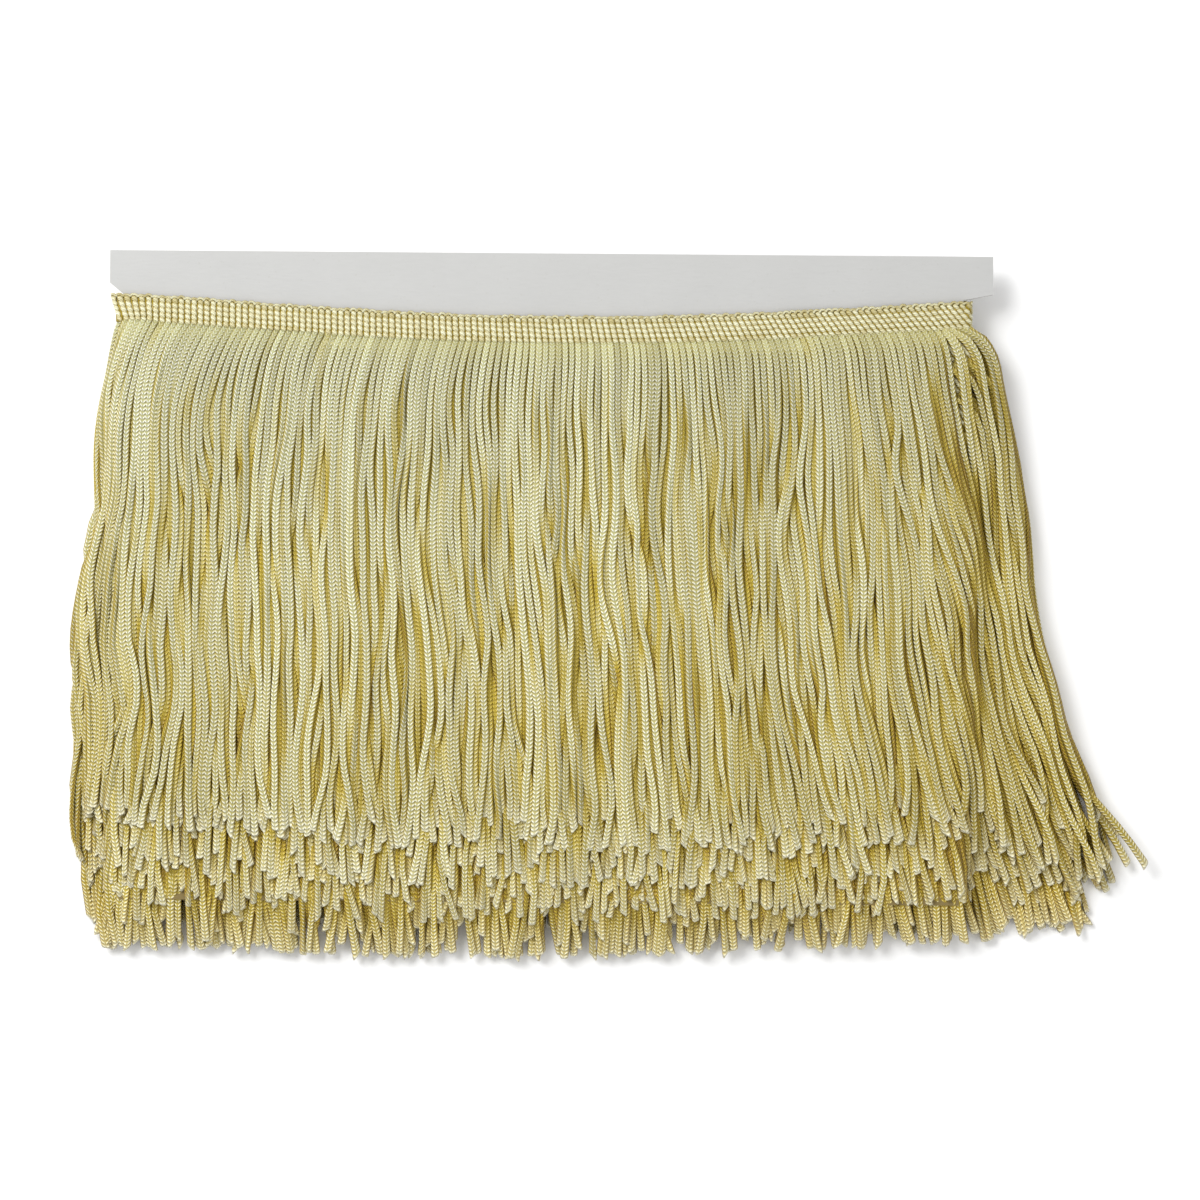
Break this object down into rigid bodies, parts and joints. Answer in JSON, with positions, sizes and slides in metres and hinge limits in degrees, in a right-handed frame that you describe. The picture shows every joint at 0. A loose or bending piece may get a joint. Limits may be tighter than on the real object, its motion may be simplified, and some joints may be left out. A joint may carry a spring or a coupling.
{
  "type": "chainette fringe trim wound on a card",
  "caption": "Chainette fringe trim with a narrow flat heading, wound flat in several turns round a stiff card, its soft knitted cords hanging down over each other.",
  "frame": {"origin": "middle of the footprint, on the surface that the wound trim lies on", "axes": "+X along the heading to the right, +Y up the card towards its bare rim, +Z out of the face, straight up"},
  "size_m": [0.399, 0.2586, 0.0236],
  "materials": {
    "yarn": "satin",
    "card": "matt"
  },
  "bodies": {
    "root": {"fringe_trim": "yarn", "winding_card": "card"}
  },
  "joints": []
}
